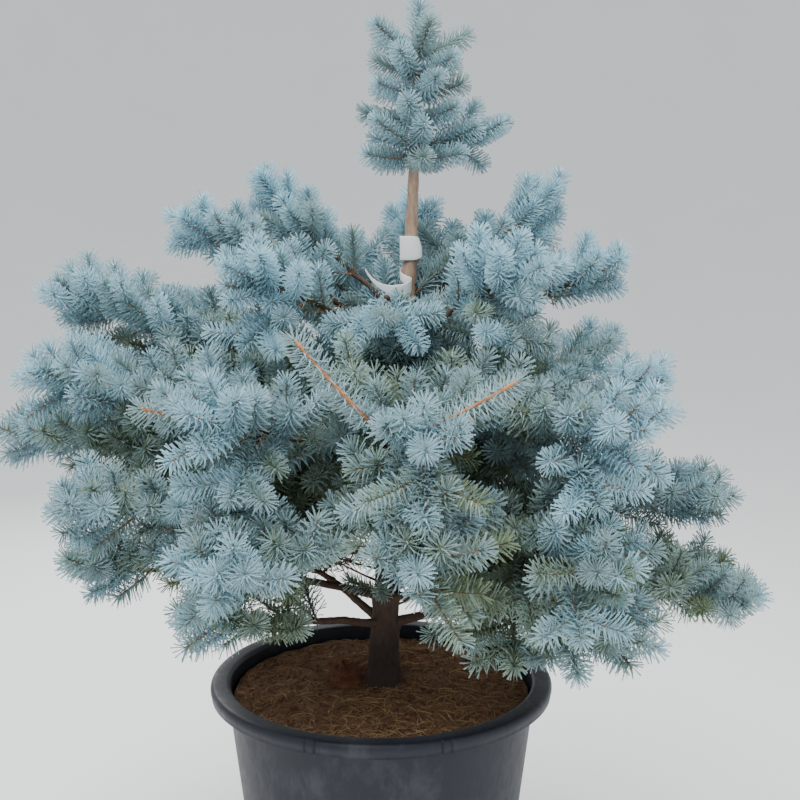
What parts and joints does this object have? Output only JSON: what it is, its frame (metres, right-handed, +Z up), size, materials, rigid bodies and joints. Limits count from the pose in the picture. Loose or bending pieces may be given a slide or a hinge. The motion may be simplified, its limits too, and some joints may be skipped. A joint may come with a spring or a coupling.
{
  "type": "potted blue spruce",
  "caption": "Young blue spruce, wide and low with a short needled leader, in a round rolled-rim plastic nursery pot; boughs and foliage masses are separate solids.",
  "frame": {"origin": "centre of the pot's flat underside", "axes": "+Z up the plant; -Y towards the viewer of the picture; +X to the viewer's right"},
  "size_m": [1.0136, 0.8331, 1.248],
  "materials": {
    "plastic": "matt, dusty, dark blue-grey",
    "compost": "crumbly, fibrous, dark brown",
    "bark": "rough, dark brown below and reddish brown above",
    "needles": "waxy blue-grey needles",
    "label": "blank white"
  },
  "bodies": {
    "root": {"pot": "plastic", "compost": "compost", "trunk": "bark", "bough_skirt_1": "bark", "foliage_skirt_1": "needles", "bough_skirt_2": "bark", "foliage_skirt_2": "needles", "bough_skirt_3": "bark", "foliage_skirt_3": "needles", "bough_skirt_4": "bark", "foliage_skirt_4": "needles", "bough_skirt_5": "bark", "foliage_skirt_5": "needles", "bough_skirt_6": "bark", "foliage_skirt_6": "needles", "bough_lower_1": "bark", "foliage_lower_1": "needles", "bough_lower_2": "bark", "foliage_lower_2": "needles", "bough_lower_3": "bark", "foliage_lower_3": "needles", "bough_lower_4": "bark", "foliage_lower_4": "needles", "bough_lower_5": "bark", "foliage_lower_5": "needles", "bough_lower_6": "bark", "foliage_lower_6": "needles", "bough_lower_7": "bark", "foliage_lower_7": "needles", "bough_lower_8": "bark", "foliage_lower_8": "needles", "bough_middle_1": "bark", "foliage_middle_1": "needles", "bough_middle_2": "bark", "foliage_middle_2": "needles", "bough_middle_3": "bark", "foliage_middle_3": "needles", "bough_middle_4": "bark", "foliage_middle_4": "needles", "bough_middle_5": "bark", "foliage_middle_5": "needles", "bough_middle_6": "bark", "foliage_middle_6": "needles", "bough_middle_7": "bark", "foliage_middle_7": "needles", "bough_middle_8": "bark", "foliage_middle_8": "needles", "foliage_upper_1": "needles", "foliage_upper_2": "needles", "foliage_upper_3": "needles", "foliage_upper_4": "needles", "foliage_upper_5": "needles", "foliage_upper_6": "needles", "foliage_upper_7": "needles", "foliage_crown_1": "needles", "foliage_crown_2": "needles", "foliage_crown_3": "needles", "foliage_leader": "needles", "label": "label"}
  },
  "joints": []
}
